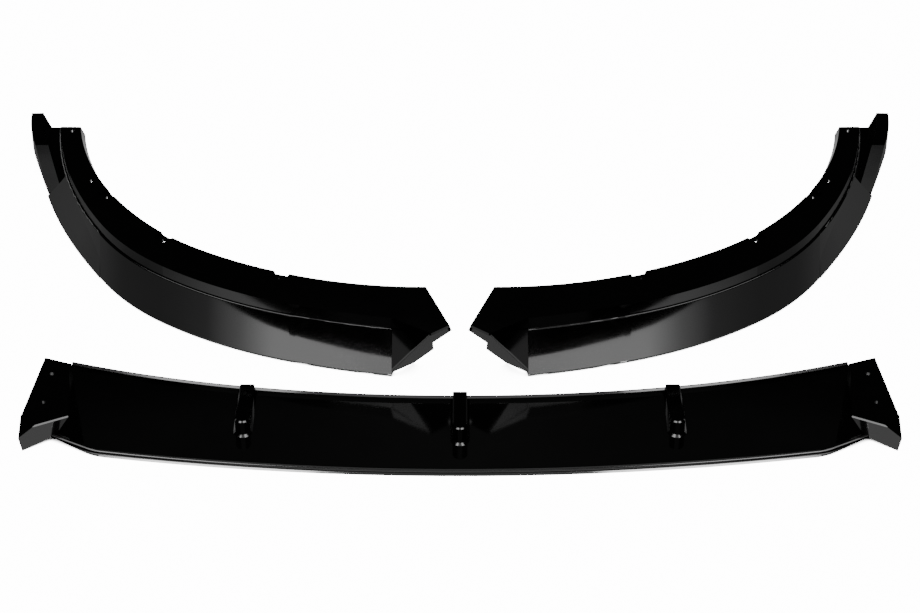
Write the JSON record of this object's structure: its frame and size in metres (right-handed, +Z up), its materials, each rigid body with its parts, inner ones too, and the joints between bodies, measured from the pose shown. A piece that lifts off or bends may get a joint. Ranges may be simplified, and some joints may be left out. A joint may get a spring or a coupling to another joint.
{
  "type": "front splitter lip",
  "caption": "Car front splitter lip in gloss-black moulded ABS: a ribbed centre blade with stepped wings, and curved left and right corner sections with screw seats, laid out for fitting.",
  "frame": {"origin": "on the floor under the middle of the layout's bounding box", "axes": "+X to the right as seen from in front of the car, +Y to the rear, +Z up; the lip's mirror plane is X = 0"},
  "size_m": [1.031, 0.6684, 0.072],
  "materials": {
    "gloss_black_abs": "glossy"
  },
  "bodies": {
    "root": {"centre_blade": "gloss_black_abs", "corner_section_left": "gloss_black_abs", "corner_section_right": "gloss_black_abs"}
  },
  "joints": []
}
